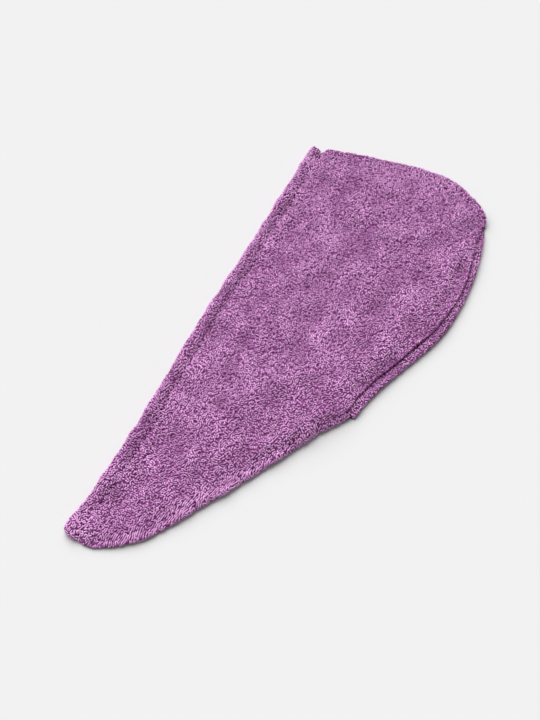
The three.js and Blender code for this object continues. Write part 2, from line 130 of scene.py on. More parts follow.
def surface_of(objects):
    """The objects' faces as one search tree, with the mean normal of each face's corners."""
    points, faces, lean = [], [], []
    for each in objects:
        mesh = each.data
        first = len(points)
        points += [tuple(v.co) for v in mesh.vertices]
        corner = [v.normal for v in mesh.vertices]
        for face in mesh.polygons:
            faces.append([first + i for i in face.vertices])
            mean = Vector((0, 0, 0))
            for i in face.vertices:
                mean += corner[i]
            lean.append(tuple(mean.normalized()))
    return BVHTree.FromPolygons(points, faces), np.array(lean)


def places(mesh):
    """The vertices' places as rows of numbers, in millimetres."""
    flat = np.empty(len(mesh.vertices) * 3)
    mesh.vertices.foreach_get("co", flat)
    return flat.reshape(-1, 3) * 1000


def put_places(mesh, rows):
    """Moves the vertices to these places, given in millimetres."""
    mesh.vertices.foreach_set("co", (rows / 1000).ravel())
    mesh.update()


# Where the towel's four edges run: for each place along an edge, how far out the cloth reaches.
# The spine, the tail and the lip are read along y, and the top edge along x, in millimetres.
spine_rows = places(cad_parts["spine_seam"].data)
spine_along = np.arange(-318, 299, 22)
spine_out = np.array([spine_rows[np.abs(spine_rows[:, 1] - y) < 16][:, 0].min() for y in spine_along])
tail_rows = places(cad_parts["tail_seam"].data)
tail_along = np.arange(-322, -47, 9)
tail_out = np.array([tail_rows[np.abs(tail_rows[:, 1] - y) < 7][:, 0].max() for y in tail_along])
lip_rows = places(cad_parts["upper_panel"].data)
lip_along = np.arange(-92, 280, 8)
lip_out = np.array([lip_rows[np.abs(lip_rows[:, 1] - y) < 7][:, 0].max() for y in lip_along])
top_rows = places(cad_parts["top_seam"].data)
top_along = np.arange(-110, 114, 8)
top_out = np.array([top_rows[np.abs(top_rows[:, 0] - x) < 7][:, 1].max() for x in top_along])
TAIL_SLANT = 0.72

# Soft folds: middle x, y, direction in degrees, half length, half width and height, all but the
# direction in millimetres. A ridge and a valley side by side make one crease.
FOLDS = [
    (-66, 199, 36, 40, 8, 2.3),
    (-52, 172, 36, 40, 8, -2.6),
    (-10, 232, 30, 32, 7, 2.1),
    (2, 213, 30, 32, 7, -2.1),
    (58, -62, 56, 36, 9, 3.9),
    (28, -106, 50, 40, 9, 2.6),
    (40, -52, 56, 46, 10, -1.4),
    (-62, 266, 20, 30, 12, 1.6),
    (103, 200, 78, 36, 10, 2.1),
    (84, 196, 78, 40, 10, -1.6),
    (64, 118, 58, 44, 10, -1.8),
    (52, 140, 58, 44, 10, 1.8),
    (-40, 120, 64, 32, 14, 2.1),
    (10, 60, 40, 40, 12, -1.9),
    (0, 84, 40, 40, 12, 1.6),
    (-70, 20, 75, 46, 12, 1.6),
    (20, 170, 100, 30, 9, 1.6),
    (-20, -60, 55, 46, 11, 1.8),
    (-4, -78, 55, 46, 11, -1.6),
    (-60, -90, 80, 34, 9, -1.6),
]
PATCH_WAVES = 60
PATCH_SHORTEST = 20
PATCH_LONGEST = 75
patch_chance = np.random.default_rng(5)
patch_turn = patch_chance.uniform(0, math.pi, PATCH_WAVES)
patch_length = np.exp(patch_chance.uniform(math.log(PATCH_SHORTEST), math.log(PATCH_LONGEST), PATCH_WAVES))
patch_start = patch_chance.uniform(0, 2 * math.pi, PATCH_WAVES)


def patchy(rows):
    """Slow changes over the cloth, mostly from -1 to 1: fuller pile, and pile that was pressed."""
    x, y, _ = rows.T
    total = np.zeros(len(rows))
    for turn, length, start in zip(patch_turn, patch_length, patch_start):
        way = (x * math.cos(turn) + y * math.sin(turn) * 0.8) * 2 * math.pi / length
        total += (length / 30) ** 0.4 * np.cos(way + start)
    return total / 5.5


def bump(away, width):
    """1 where the distance is nought, and almost nothing at twice the width."""
    return np.exp(-(away / width) ** 2)


def dip(inwards, middle, outer_width, inner_width):
    """1 at its middle, and less on both sides, with a width of its own on each."""
    outer = np.clip(middle - inwards, 0, 40)
    inner = np.clip(inwards - middle, 0, 200)
    return np.exp(-(outer / outer_width) ** 2 - (inner / inner_width) ** 2)


def grow(value, start, over):
    """0 up to the start, 1 from the start plus the stretch on, and even in between."""
    return np.clip((value - start) / over, 0, 1)


# Distances of the seams' features from the towel's outer edge, and of their puckers from each
# other. The groove is where the needle went through, and the crest is the top of the roll.
SPINE_PUCKER_PITCH = 15.5
SPINE_GROOVE_IN = 15.5
SPINE_CREST_IN = 5.5
SPINE_SHOULDER_IN = 31
TAIL_PUCKER_PITCH = 12.0
TAIL_GROOVE_IN = 10.5
TAIL_SHOULDER_IN = 17
TOP_GROOVE_IN = 10.0
TOP_SHOULDER_IN = 20


def spine_tucks(y, inward):
    """The slanting puckers that the stitches pull into the spine's roll, from 0 to 1."""
    slant = y + 0.75 * (inward - 9) + 3.0 * np.sin(y / 23.0)
    turn = slant / SPINE_PUCKER_PITCH * 2 * math.pi
    turn = turn + 1.3 * np.sin(y / 41.0 + 0.6) + 0.9 * np.sin(y / 17.0 + 2.0)
    return np.clip(np.cos(turn), 0, 1) ** 2.2


def sunk_by_seams(rows, inward, tail_in, top_in):
    """How far the stitching pulls the cloth down at and beside the three seams."""
    x, y, _ = rows.T
    tuck = spine_tucks(y, inward)
    strength = 0.65 + 0.35 * np.sin(y / 29.0 + 1.1)
    groove = bump(inward - SPINE_GROOVE_IN, 4.6)
    crest = bump(inward - SPINE_CREST_IN, 3.8)
    to_tip = np.interp(y, [-300, -150], [0, 1])
    drop = strength * tuck * (1.8 * groove + 0.7 * crest) + (1.0 + 1.4 * to_tip) * groove - 1.2 * crest
    shoulder = np.interp(y, [-310, -260], [1.5, 5.0]) * dip(inward, SPINE_SHOULDER_IN, 12.0, 24.0)
    low_tail = np.interp(y, [-300, -260, -160, -90], [0.2, 1, 1, 0])
    shoulder += low_tail * 1.6 * bump(inward - 40, 16.0)
    shoulder *= grow(top_in, 4, 16)
    second_row = grow(-y, 120, 110)
    drop += second_row * (1.2 + 2.2 * tuck) * bump(inward - 7.6, 2.0)

    tail_turn = (x + 0.55 * y) / TAIL_PUCKER_PITCH * 2 * math.pi + 1.2 * np.sin(x / 19.0)
    tail_tuck = np.clip(np.cos(tail_turn), 0, 1) ** 2
    on_tail = (y < -45) * grow(y, -262, 60)
    drop += on_tail * 0.7 * tail_tuck * bump(tail_in - TAIL_GROOVE_IN, 3.4)
    by_tail = grow(-y, 42, 14)
    drop += by_tail * 4.4 * np.clip((6.5 - tail_in) / 8.0, 0, 1)
    by_corner = bump(y + 82, 40.0)
    drop += by_corner * (2.4 * bump(tail_in - 35, 13.0) - 1.8 * bump(tail_in - 13, 7.0))
    drop -= 2.5 * np.exp(-((tail_in - 4) / 3.5) ** 2 - ((y + 49) / 9.0) ** 2)
    drop += low_tail * 3.6 * grow(inward, 17, 12) * grow(tail_in, 5, 10)
    by_tail = by_tail * np.interp(y, [-320, -260, -160, -110, -60], [0.2, 0.4, 0.4, 0.7, 0.1])
    shoulder = np.maximum(shoulder, by_tail * 4.0 * dip(tail_in, TAIL_SHOULDER_IN, 8.0, 20.0))

    by_top = grow(y, 190, 50)
    drop += by_top * 0.9 * bump(top_in - TOP_GROOVE_IN, 3.4)
    shoulder = np.maximum(shoulder, by_top * 3.2 * dip(top_in, TOP_SHOULDER_IN, 8.0, 22.0))
    drop += shoulder
    return drop


def soft_folds(rows):
    """The rise and fall of the creases and of the cloth's soft unevenness."""
    x, y, _ = rows.T
    rise = 0.8 * patchy(rows)
    for fold_x, fold_y, degrees, length, width, height in FOLDS:
        cosine = math.cos(math.radians(degrees))
        sine = math.sin(math.radians(degrees))
        along = (x - fold_x) * cosine + (y - fold_y) * sine
        aside = (y - fold_y) * cosine - (x - fold_x) * sine
        rise += height * np.exp(-(along / length) ** 2 - (aside / width) ** 2)
    return rise


def from_edges(rows):
    """How far places lie inwards from the spine, the tail's edge, the top edge and the lip."""
    x, y, _ = rows.T
    inward = x - np.interp(y, spine_along, spine_out)
    tail_in = (np.interp(y, tail_along, tail_out) - x) * TAIL_SLANT
    top_in = np.interp(x, top_along, top_out) - y
    lip_in = np.interp(y, lip_along, lip_out) - x
    return inward, tail_in, top_in, lip_in


LIP_DRAWN_IN = 4.6
LIP_SAG = 3.9
LIP_SAG_MORE = 4.0
TIP_BLUNTED = 8.5
TIP_END_OUT = 6.0
TAIL_END_OUT = 3.6


def sewn_shape(rows):
    """Where the handled cloth really lies: the seams' puckers, small creases and soft unevenness."""
    x, y, z = rows.T
    inward, tail_in, top_in, lip_in = from_edges(rows)
    drop = sunk_by_seams(rows, inward, tail_in, top_in)
    uneven = soft_folds(rows)
    moved = rows.copy()

    lifted = grow(z, 2.2, 5.0)
    near_lip = np.interp(y, [-88, -64, -44, 214, 240, 266, 289], [0, 0.6, 1, 1, 0.8, 0.4, 0])
    droop = near_lip * bump(np.clip(lip_in, 0, 80), np.interp(y, [-60, 0, 60], [9, 12, 15]))
    band = np.clip((0.5 - lip_in) / 3, 0, 1) * np.interp(y, [-44, -28, 262, 284], [0, 1, 1, 0]) * (z < 6.3)
    lip = grow(z, 6.5, 3.0) * (LIP_SAG + LIP_SAG_MORE * grow(z, 10.5, 6.5))
    moved[:, 2] += lifted * (uneven - drop) * (1 - band) - droop * lip + 0.25 * z * band
    moved[:, 0] -= band * (1.7 + 1.8 * np.clip(1 - z / 3.0, 0, 1))
    drawn = np.interp(y, [-48, -20, 250, 280], [0, 1, 1, 0]) * grow(z, 6.5, 3.0)
    moved[:, 0] -= drawn * LIP_DRAWN_IN * bump(np.clip(lip_in, 0, 80), 24.0)

    heel = np.interp(y, [-92, -72, -48], [0, 1, 1]) * (y < -47.5) * (z > 3) * (z < 9.7)
    moved[:, 0] -= heel * 1.8 * np.clip(tail_in / 4.0, 0, 1) * np.clip((9.0 - tail_in) / 2.0, 0, 1)
    tail_end = grow(y, -62, 12) * (y < -47.5) * (z > 2.8) * (z < 9.9) * (tail_in < 11)
    moved[:, 1] += TAIL_END_OUT * tail_end
    blunt = grow(-y, 283, 40) * grow(-x, 70, 40)
    moved[:, 1] += TIP_BLUNTED * blunt
    moved[:, 1] += 1.6 * bump(x + 109, 7.0) * np.clip((8 - top_in) / 6, 0, 1) * (y > 200)
    end = grow(-y, 296, 18) * grow(-x, 115.6, 1.5)
    moved[:, 1] -= end * TIP_END_OUT * np.clip(inward / 17.0, 0, 1) ** 0.8
    moved[:, 0] -= 2.4 * grow(-y, 285, 20) * np.clip(1 - inward / 14.0, 0, 1)

    outer = np.clip(1 - inward / 9.0, 0, 1)
    moved[:, 0] += outer * (0.4 * np.sin(y / 6.4 + 1.3 * np.sin(y / 31.0)) + 0.3 * np.sin(y / 3.3 + 0.5))
    moved[:, 0] += outer * 0.45 * spine_tucks(y, inward)
    edge = np.clip(1 - tail_in / 9.0, 0, 1) * (y < -45)
    moved[:, 0] -= edge * (0.3 * np.sin(y / 4.7 + 0.9) + 0.3 * np.sin(y / 2.6 + 1.8 * np.sin(y / 13.0)))
    moved[:, 0] -= edge * (2.4 + 3.6 * np.clip(1 - z / 5.0, 0, 1))
    return moved


def cloth_of(node, levels):
    """A merged copy of a CAD solid with soft edges, drawn in by the pile's depth where it is bare."""
    piece = bpy.data.objects.new(node + "_cloth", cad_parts[node].data.copy())
    bpy.context.collection.objects.link(piece)
    bpy.ops.object.select_all(action="DESELECT")
    piece.select_set(True)
    bpy.context.view_layer.objects.active = piece
    bpy.ops.object.mode_set(mode="EDIT")
    bpy.ops.mesh.select_all(action="SELECT")
    bpy.ops.mesh.remove_doubles(threshold=WELD)
    bpy.ops.mesh.tris_convert_to_quads(face_threshold=math.radians(50), shape_threshold=math.radians(60))
    bpy.ops.mesh.normals_make_consistent(inside=False)
    bpy.ops.object.mode_set(mode="OBJECT")
    if levels:
        soft = piece.modifiers.new("soft edges", "BEVEL")
        soft.width = SOFT_EDGE
        soft.segments = 1
        soft.angle_limit = math.radians(50)
        bpy.ops.object.modifier_apply(modifier=soft.name)
        smooth = piece.modifiers.new("smooth cloth", "SUBSURF")
        smooth.levels = levels
        smooth.render_levels = levels
        bpy.ops.object.modifier_apply(modifier=smooth.name)
    bpy.ops.object.shade_smooth()
    others = [o for name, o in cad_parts.items() if name != node]
    near, _ = surface_of(others)
    mesh = piece.data
    rows = places(mesh)
    lean = np.array([tuple(v.normal) for v in mesh.vertices])
    gaps = [near.find_nearest(v.co, NEIGHBOUR_REACH)[3] or NEIGHBOUR_REACH for v in mesh.vertices]
    apart = np.array(gaps) * 1000
    bare = grow(apart, BARE_FROM, BARE_OVER)[:, None]
    whole = bpy.data.objects.new(node + "_whole", mesh.copy())
    put_places(whole.data, sewn_shape(rows))
    uncut[node] = whole
    rows -= lean * bare * GROUND_DEPTH * 1000
    put_places(mesh, sewn_shape(rows))
    return piece


cloth = {}
uncut = {}
cloth["upper_panel"] = cloth_of("upper_panel", 2)
cloth["under_panel"] = cloth_of("under_panel", 0)

# Seams: the turned allowances of both panels, folded into a roll and sewn down. The spine's roll
# is broad and puckered by its stitches, the top one is narrow, and the tail's goes round the tip.
cloth["spine_seam"] = cloth_of("spine_seam", 2)
cloth["top_seam"] = cloth_of("top_seam", 2)
cloth["tail_seam"] = cloth_of("tail_seam", 2)

# Hems: each panel's open edge is turned in and stitched down, as a band of cloth inside the lip.
cloth["upper_hem"] = cloth_of("upper_hem", 1)
cloth["under_hem"] = cloth_of("under_hem", 1)

# Ground weave: plain-woven cotton dyed with the loops. Its colour is painted a deeper, redder purple
# than the pile's, as painted shade for the gaps between them, with a trace of its threads. Real
# threads are 0.4 mm apart, too fine for the picture, so they are drawn as uneven clumps 1.9 mm across.
GROUND_CLUMP_MM = 1.923
GROUND_RELIEF = 0.0012
weave = bpy.data.materials.new("cotton_ground_weave")
weave.use_nodes = True
weave_shader = weave.node_tree.nodes["Principled BSDF"]
spot = add_node(weave, "ShaderNodeTexCoord")
low_pile = add_node(weave, "ShaderNodeTexNoise", {"noise_dimensions": "3D"},
                    {"Vector": spot.outputs["Object"], "Scale": 1000 / GROUND_CLUMP_MM,
                     "Detail": 2.0, "Roughness": 0.45})
weave_painted_shade_ramp = add_node(weave, "ShaderNodeValToRGB", inputs={"Fac": low_pile.outputs["Fac"]})
weave_painted_shade_ramp.color_ramp.elements[0].position = 0.42
weave_painted_shade_ramp.color_ramp.elements[1].position = 0.62
# Both colours are painted darker and redder than the yarn's own dye, as painted shade for the gaps between
# the loops.
weave_painted_shade_ramp.color_ramp.elements[0].color = colour("#5C2958")
weave_painted_shade_ramp.color_ramp.elements[1].color = colour("#A862A3")
weave.node_tree.links.new(weave_painted_shade_ramp.outputs["Color"], weave_shader.inputs["Base Color"])
weave_bump = add_node(weave, "ShaderNodeBump",
                      inputs={"Strength": 1.0, "Distance": GROUND_RELIEF, "Height": low_pile.outputs["Fac"]})
weave.node_tree.links.new(weave_bump.outputs["Normal"], weave_shader.inputs["Normal"])
weave_shader.inputs["Roughness"].default_value = 0.95
weave_shader.inputs["Specular IOR Level"].default_value = 0.15

for node, piece in cloth.items():
    piece.data.materials.clear()
    piece.data.materials.append(weave)
    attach(piece, "root")
    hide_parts(node)

# Terry pile: soft cotton yarn stands out of the ground cloth in loops, which washing has curled
# and laid over each other, so the towel's face is a maze of short, bent strokes 2.4 mm apart.
PILE_DEPTH = 0.00085
LOOP_PITCH = 2.45
RIB_PITCH = 2.2
maze_count = 220
rib_count = 26
chance = np.random.default_rng(11)
aims = chance.normal(size=(maze_count, 3))
aims /= np.linalg.norm(aims, axis=1)[:, None]
maze_waves = aims * (2 * math.pi / (LOOP_PITCH * chance.uniform(0.92, 1.09, maze_count)))[:, None]
rib_turn = chance.normal(0, math.radians(9), rib_count)
rib_waves = np.stack([np.cos(rib_turn), np.sin(rib_turn), np.zeros(rib_count)], 1)
rib_waves *= (2 * math.pi / (RIB_PITCH * chance.uniform(0.94, 1.07, rib_count)))[:, None]
waves = np.vstack([maze_waves, rib_waves])
wave_aims = waves / np.linalg.norm(waves, axis=1)[:, None]
starts = chance.uniform(0, 2 * math.pi, len(waves))
is_rib = np.arange(len(waves)) >= maze_count


def rib_share(rows):
    """How far the loops stand in straight rows, as they do where a seam pulls the cloth taut."""
    x, y, _ = rows.T
    inward, tail_in, _, _ = from_edges(rows)
    depth = np.interp(y, [-325, -230, -150, -60], [24, 22, 10, 7])
    at_tail = np.clip(1.4 - tail_in / depth, 0, 1) * (y < -48)
    at_spine = 0.55 * np.clip(1 - inward / 15.0, 0, 1)
    drift = 0.25 + 0.2 * np.sin(x / 33.0 + 1.0) * np.sin(y / 41.0 + 0.4)
    return np.clip(np.maximum(np.maximum(at_tail * 0.92, at_spine), drift), 0, 0.95)


def side_axes(lean):
    """Two directions in the cloth's surface, square to its normals and to each other."""
    across = np.cross(lean, [0.0, 1.0, 0.0])
    steep = np.linalg.norm(across, axis=1) < 0.2
    across[steep] = np.cross(lean[steep], [1.0, 0.0, 0.0])
    across /= np.linalg.norm(across, axis=1)[:, None]
    return across, np.cross(lean, across)


def yarn_run(rows, lean):
    """Which way the nearest stroke of the maze runs, the step to its middle, and how sharp it is."""
    step = np.empty_like(rows)
    along = np.empty_like(rows)
    sharp = np.empty(len(rows))
    for first in range(0, len(rows), 8000):
        part = slice(first, first + 8000)
        p = rows[part]
        n = lean[part]
        a, b = side_axes(n)
        share = rib_share(p)[:, None]
        weight = np.exp(-(n @ wave_aims.T) ** 2 / 0.12) * np.where(is_rib, 1.75 * share, 1 - share)
        turn = p @ waves.T + starts
        cosine = weight * np.cos(turn)
        sine = weight * np.sin(turn)
        on_a = a @ waves.T
        on_b = b @ waves.T
        slope_a = -(sine * on_a).sum(1)
        slope_b = -(sine * on_b).sum(1)
        aa = -(cosine * on_a * on_a).sum(1)
        bb = -(cosine * on_b * on_b).sum(1)
        ab = -(cosine * on_a * on_b).sum(1)
        angle = 0.5 * np.arctan2(2 * ab, aa - bb)
        bend = (aa + bb) / 2 - np.sqrt(((aa - bb) / 2) ** 2 + ab ** 2)
        bend = np.minimum(bend, -1e-3)
        t = np.cos(angle)[:, None] * a + np.sin(angle)[:, None] * b
        e = -np.sin(angle)[:, None] * a + np.cos(angle)[:, None] * b
        slope = -np.sin(angle) * slope_a + np.cos(angle) * slope_b
        step[part] = np.clip(-slope / bend, -0.5, 0.5)[:, None] * e
        along[part] = t
        sharp[part] = cosine.sum(1) / np.sqrt((weight ** 2).sum(1))
    return step, along, sharp


SETTLE_REACH = 0.004


def settle(rows, tree, leans, fallback):
    """Puts each place back on the cloth's surface and reads the surface's normal there."""
    found = rows.copy()
    lean = fallback.copy()
    for i, row in enumerate(rows):
        spot, _, face, _ = tree.find_nearest(Vector(row / 1000), SETTLE_REACH)
        if face is not None:
            found[i] = np.array(spot) * 1000
            lean[i] = leans[face]
    return found, lean


JOINT_REACH = 0.006
JOINT_FULL = 0.003


def skin_over(nodes, grain):
    """One closed skin over these pieces, in which the loops are rooted, so that rows cross a seam."""
    parts = []
    edges = []
    for node in nodes:
        if "hem" not in node:
            edge = bpy.data.objects.new(node + "_edge", uncut[node].data.copy())
            edges.append(edge)
        bpy.context.collection.objects.link(uncut[node])
        parts.append(uncut[node])
    bpy.ops.object.select_all(action="DESELECT")
    for part in parts:
        part.select_set(True)
    bpy.context.view_layer.objects.active = parts[0]
    bpy.ops.object.join()
    skin = parts[0]
    fuse = skin.modifiers.new("fuse", "REMESH")
    fuse.mode = "VOXEL"
    fuse.voxel_size = grain
    bpy.ops.object.modifier_apply(modifier=fuse.name)
    calm = skin.modifiers.new("calm", "SMOOTH")
    calm.factor = 0.5
    calm.iterations = 2
    bpy.ops.object.modifier_apply(modifier=calm.name)
    trees = [surface_of([uncut_copy])[0] for uncut_copy in edges]
    joint = skin.vertex_groups.new(name="joint")
    for vertex in skin.data.vertices if len(trees) > 1 else ():
        gaps = sorted(tree.find_nearest(vertex.co, JOINT_REACH)[3] or JOINT_REACH for tree in trees)
        if gaps[1] < JOINT_REACH:
            firm = 0.45 if vertex.co.x < -0.105 and vertex.co.y > -0.29 else 1.0
            joint.add([vertex.index], firm * min(1.0, (JOINT_REACH - gaps[1]) / JOINT_FULL), "REPLACE")
    fill = skin.modifiers.new("fill joints", "SMOOTH")
    fill.factor = 0.5
    fill.iterations = 14
    fill.vertex_group = "joint"
    bpy.ops.object.modifier_apply(modifier=fill.name)
    lean = np.array([tuple(v.normal) for v in skin.data.vertices])
    put_places(skin.data, places(skin.data) - lean * PILE_DEPTH * 1000)
    return skin


def spread_on(skin, number):
    """Places at random all over a skin, as many on each square millimetre."""
    mesh = skin.data
    mesh.calc_loop_triangles()
    corners = np.empty(len(mesh.loop_triangles) * 3, np.int32)
    mesh.loop_triangles.foreach_get("vertices", corners)
    rows = places(mesh)[corners.reshape(-1, 3)]
    lean = np.array([tuple(v.normal) for v in mesh.vertices])[corners.reshape(-1, 3)].mean(1)
    lean /= np.linalg.norm(lean, axis=1)[:, None]
    size = np.linalg.norm(np.cross(rows[:, 1] - rows[:, 0], rows[:, 2] - rows[:, 0]), axis=1) / 2
    total = size.sum()
    pick = chance.choice(len(size), int(total * number), p=size / total)
    u = chance.random(len(pick))
    v = chance.random(len(pick))
    flip = u + v > 1
    u[flip] = 1 - u[flip]
    v[flip] = 1 - v[flip]
    first, second, third = rows[pick].transpose(1, 0, 2)
    spots = first + u[:, None] * (second - first) + v[:, None] * (third - first)
    return spots, lean[pick]


CLEAR_SKY = 0.3
SKIN_MARGIN = 0.35


def open_to_view(rows, lean, trees, least):
    """True where enough of the sky over a place is free of cloth."""
    a, b = side_axes(lean)
    rays = [(0.0, 0.0)]
    rays += [(0.75, k * math.pi / 3) for k in range(6)]
    rays += [(1.25, k * math.pi / 4) for k in range(8)]
    free = np.zeros(len(rows))
    for tilt, turn in rays:
        aim_row = math.cos(tilt) * lean + math.sin(tilt) * (math.cos(turn) * a + math.sin(turn) * b)
        start = rows + SKIN_MARGIN * lean
        for i in range(len(rows)):
            origin = Vector(start[i] / 1000)
            way = Vector(aim_row[i])
            if all(tree.ray_cast(origin, way, CLEAR_SKY)[0] is None for tree in trees):
                free[i] += 1
    return free >= least


FACES_TABLE = -0.45
GOOD_STEP = 0.35
FAIR_STEP = 0.49
FAIR_SHARPNESS = -0.4
SIDE_ROOM = 1.2


def root_loops(rows, lean, tree, leans, apart, length, steps):
    """Picks one place for each loop on the maze's strokes and follows the stroke to both sides."""
    for _ in range(4):
        step, along, sharp = yarn_run(rows, lean)
        rows, lean = settle(rows + step, tree, leans, lean)
    step, along, sharp = yarn_run(rows, lean)
    off = np.linalg.norm(step, axis=1)
    good = (off < GOOD_STEP) & (sharp > 0.0)
    fair = good | ((off < FAIR_STEP) & (sharp > FAIR_SHARPNESS))
    finder = KDTree(len(rows))
    for i, row in enumerate(rows):
        finder.insert(Vector(row), i)
    finder.balance()
    inward = from_edges(rows)[0]
    reach = apart * (1 - 0.25 * np.clip((15 - inward) / 4, 0, 1) * (lean[:, 2] > FACES_TABLE))
    alive = np.ones(len(rows), bool)
    kept = []
    turn = chance.permutation(len(rows))
    for i in np.concatenate([turn[good[turn]], turn[(fair & ~good)[turn]]]):
        if not alive[i]:
            continue
        kept.append(i)
        near = np.array([hit[1] for hit in finder.find_range(Vector(rows[i]), reach[i])])
        gap = rows[near] - rows[i]
        run = np.abs(gap @ along[i])
        side = np.linalg.norm(gap - (gap @ along[i])[:, None] * along[i], axis=1)
        alive[near[(run < reach[i]) & (side < SIDE_ROOM)]] = False
    rows = rows[kept]
    lean = lean[kept]
    along = along[kept]
    stride = length / (2 * steps) * chance.uniform(0.78, 1.18, len(rows))[:, None]
    stride = stride * (1 + 0.9 * rib_share(rows)[:, None] ** 2)
    path = [rows]
    normal = [lean]
    for way in (1, -1):
        spot = rows
        tip = lean
        course = along * way
        for _ in range(steps):
            ahead = spot + stride * course
            step, run, _ = yarn_run(ahead, tip)
            spot, tip = settle(ahead + 0.7 * step, tree, leans, tip)
            same = np.sign((run * course).sum(1))[:, None]
            course = 0.35 * course + 0.65 * run * same
            course /= np.linalg.norm(course, axis=1)[:, None]
            if way > 0:
                path.append(spot)
                normal.append(tip)
            else:
                path.insert(0, spot)
                normal.insert(0, tip)
    return np.stack(path, 1), np.stack(normal, 1)


def yarn_mesh(name, path, normal, rise, thick, sides, shade):
    """Tubes of yarn along the paths, which dive into the ground cloth at both ends."""
    loops, knots, _ = path.shape
    place = np.linspace(-1, 1, knots)
    lift = rise[:, None] * (1 - np.abs(place) ** 2.6)[None, :] - 0.55 * (np.abs(place) ** 2.6)[None, :]
    middle = path + normal * lift[:, :, None]
    course = np.gradient(middle, axis=1)
    course /= np.linalg.norm(course, axis=2)[:, :, None] + 1e-9
    side = np.cross(course, normal)
    side /= np.linalg.norm(side, axis=2)[:, :, None] + 1e-9
    over = np.cross(side, course)
    lean = chance.normal(0, 0.28, loops)[:, None, None] * (1 - place[None, :, None] ** 2)
    middle = middle + side * lean
    girth = thick[:, None] * (1 - 0.3 * place[None, :] ** 4)
    turns = np.arange(sides) / sides * 2 * math.pi + math.pi / 2
    wide = 1.15 * np.cos(turns)[None, None, :, None] * side[:, 1:-1, None]
    high = np.sin(turns)[None, None, :, None] * over[:, 1:-1, None]
    rings = middle[:, 1:-1, None] + girth[:, 1:-1, None, None] * (wide + high)
    inner = knots - 2
    rows = np.concatenate([middle[:, :1], rings.reshape(loops, inner * sides, 3), middle[:, -1:]], 1)
    last = 1 + inner * sides
    corners = []
    spans = []
    sizes = []
    for s in range(sides):
        t = (s + 1) % sides
        corners += [0, 1 + t, 1 + s]
        spans += [(0, s + 0.5), (1, s + 1), (1, s)]
        sizes.append(3)
    for k in range(inner - 1):
        for s in range(sides):
            t = (s + 1) % sides
            low = 1 + k * sides
            high = 1 + (k + 1) * sides
            corners += [low + s, low + t, high + t, high + s]
            spans += [(k + 1, s), (k + 1, s + 1), (k + 2, s + 1), (k + 2, s)]
            sizes.append(4)
    for s in range(sides):
        t = (s + 1) % sides
        low = 1 + (inner - 1) * sides
        corners += [low + s, low + t, last]
        spans += [(inner, s), (inner, s + 1), (inner + 1, s + 0.5)]
        sizes.append(3)
    spans = np.array(spans, float)
    per = rows.shape[1]
    every = (np.array(corners)[None, :] + per * np.arange(loops)[:, None]).ravel()
    all_sizes = np.tile(sizes, loops)
    mesh = bpy.data.meshes.new(name)
    mesh.vertices.add(loops * per)
    mesh.loops.add(len(every))
    mesh.polygons.add(len(all_sizes))
    mesh.vertices.foreach_set("co", (rows / 1000).ravel())
    mesh.loops.foreach_set("vertex_index", every)
    mesh.polygons.foreach_set("loop_start", np.concatenate([[0], np.cumsum(all_sizes)[:-1]]))
    mesh.polygons.foreach_set("loop_total", all_sizes)
    mesh.polygons.foreach_set("use_smooth", np.ones(len(all_sizes), bool))
    mesh.update(calc_edges=True)
    grid = math.ceil(math.sqrt(loops))
    cell = np.stack([np.arange(loops) % grid, np.arange(loops) // grid], 1)
    inside = np.stack([spans[:, 0] / (knots - 1), spans[:, 1] / sides], 1)
    atlas = (cell[:, None, :] + 0.08 + 0.84 * inside[None]) / grid
    mesh.uv_layers.new(name="OFBake").data.foreach_set("uv", atlas.ravel())
    travel = np.linalg.norm(np.diff(path, axis=1), axis=2).sum(1)
    strand = np.stack([np.broadcast_to(inside[None, :, 0] * travel[:, None], atlas.shape[:2]),
                       np.broadcast_to(inside[None, :, 1], atlas.shape[:2])], 2)
    mesh.uv_layers.new(name="strand").data.foreach_set("uv", strand.ravel())
    mesh.uv_layers.active = mesh.uv_layers["OFBake"]
    tone = mesh.attributes.new("tone", "FLOAT", "POINT")
    # Painted light and shade: each yarn's top is painted lighter and its underside darker, and its ends
    # darker still where they dive into the cloth, as painted shade.
    painted_crest_light_end_shade = (0.07 * np.sin(turns)[None, :] - 0.12 * (place[1:-1, None]) ** 2).ravel()
    painted_crest_and_root_shade = np.concatenate([[-0.5], painted_crest_light_end_shade, [-0.5]])
    tone.data.foreach_set("value", np.clip(shade[:, None] + painted_crest_and_root_shade[None, :], 0, 1).ravel())
    piece = bpy.data.objects.new(name, mesh)
    bpy.context.collection.objects.link(piece)
    return piece


# Soft cotton yarn, dyed in the piece: matt and fuzzy, so its sheen gives its edges a pale bloom of
# light. Its tops are painted lighter and its undersides and roots darker, as painted light and shade.
# Single fibres are 0.02 mm thick, too fine to show, so they are drawn as flecks 1.1 mm across, and
# the twist of its two plies as a faint relief.
FLECK_MM = 1.111
TURNS_PER_MM = 0.9
PLIES = 2
yarn = bpy.data.materials.new("dyed_cotton_yarn")
yarn.use_nodes = True
yarn_shader = yarn.node_tree.nodes["Principled BSDF"]
yarn_tone = add_node(yarn, "ShaderNodeAttribute", {"attribute_type": "GEOMETRY", "attribute_name": "tone"})
yarn_ramp = add_node(yarn, "ShaderNodeValToRGB", inputs={"Fac": yarn_tone.outputs["Fac"]})
yarn_ramp.color_ramp.elements[0].color = colour("#874380")
yarn_ramp.color_ramp.elements[1].color = colour("#F6BAF1")
yarn_spot = add_node(yarn, "ShaderNodeTexCoord")
fibres = add_node(yarn, "ShaderNodeTexNoise", {"noise_dimensions": "3D"},
                  {"Vector": yarn_spot.outputs["Object"], "Scale": 1000 / FLECK_MM, "Detail": 1.0,
                   "Roughness": 0.5})
